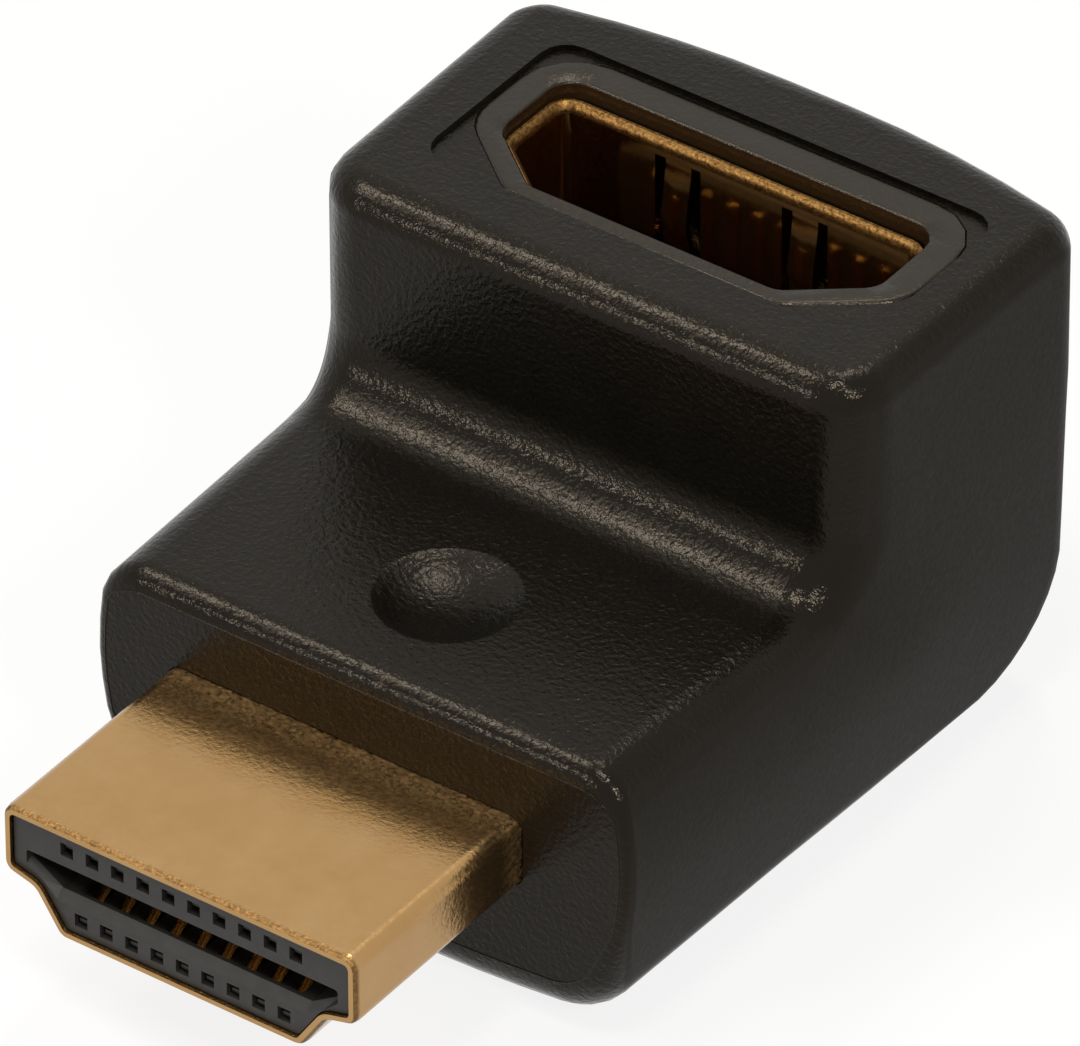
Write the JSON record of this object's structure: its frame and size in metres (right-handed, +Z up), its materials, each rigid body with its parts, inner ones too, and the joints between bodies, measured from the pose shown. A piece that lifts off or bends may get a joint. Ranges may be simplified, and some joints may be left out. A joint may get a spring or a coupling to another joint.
{
  "type": "right angle video adapter",
  "caption": "Right-angle adapter that turns a flat rectangular plug through ninety degrees to the matching socket, in one black moulded elbow.",
  "frame": {"origin": "on the ground, under the middle of the adapter's box", "axes": "+Z up, out of the socket; -Y out of the plug; +X to the right as seen from the plug's end"},
  "size_m": [0.0222, 0.0344, 0.0191],
  "materials": {
    "overmould_plastic": "fine spark-eroded grain",
    "bezel_plastic": "smooth satin",
    "insulator_plastic": "smooth satin",
    "gold_plating": "satin gold plating on drawn steel",
    "contact_plating": "bright gold plating on stamped strip",
    "board_laminate": "solder mask over glass laminate"
  },
  "bodies": {
    "root": {"overmould": "overmould_plastic", "socket_bezel": "bezel_plastic", "plug_shell": "gold_plating", "plug_insulator": "insulator_plastic", "circuit_board": "board_laminate", "receptacle_shell": "gold_plating", "receptacle_insulator": "insulator_plastic", "plug_contact_upper_01": "contact_plating", "plug_contact_upper_02": "contact_plating", "plug_contact_upper_03": "contact_plating", "plug_contact_upper_04": "contact_plating", "plug_contact_upper_05": "contact_plating", "plug_contact_upper_06": "contact_plating", "plug_contact_upper_07": "contact_plating", "plug_contact_upper_08": "contact_plating", "plug_contact_upper_09": "contact_plating", "plug_contact_upper_10": "contact_plating", "plug_contact_lower_01": "contact_plating", "plug_contact_lower_02": "contact_plating", "plug_contact_lower_03": "contact_plating", "plug_contact_lower_04": "contact_plating", "plug_contact_lower_05": "contact_plating", "plug_contact_lower_06": "contact_plating", "plug_contact_lower_07": "contact_plating", "plug_contact_lower_08": "contact_plating", "plug_contact_lower_09": "contact_plating", "receptacle_contact_back_01": "contact_plating", "receptacle_contact_back_02": "contact_plating", "receptacle_contact_back_03": "contact_plating", "receptacle_contact_back_04": "contact_plating", "receptacle_contact_back_05": "contact_plating", "receptacle_contact_back_06": "contact_plating", "receptacle_contact_back_07": "contact_plating", "receptacle_contact_back_08": "contact_plating", "receptacle_contact_back_09": "contact_plating", "receptacle_contact_back_10": "contact_plating", "receptacle_contact_front_01": "contact_plating", "receptacle_contact_front_02": "contact_plating", "receptacle_contact_front_03": "contact_plating", "receptacle_contact_front_04": "contact_plating", "receptacle_contact_front_05": "contact_plating", "receptacle_contact_front_06": "contact_plating", "receptacle_contact_front_07": "contact_plating", "receptacle_contact_front_08": "contact_plating", "receptacle_contact_front_09": "contact_plating"}
  },
  "joints": []
}
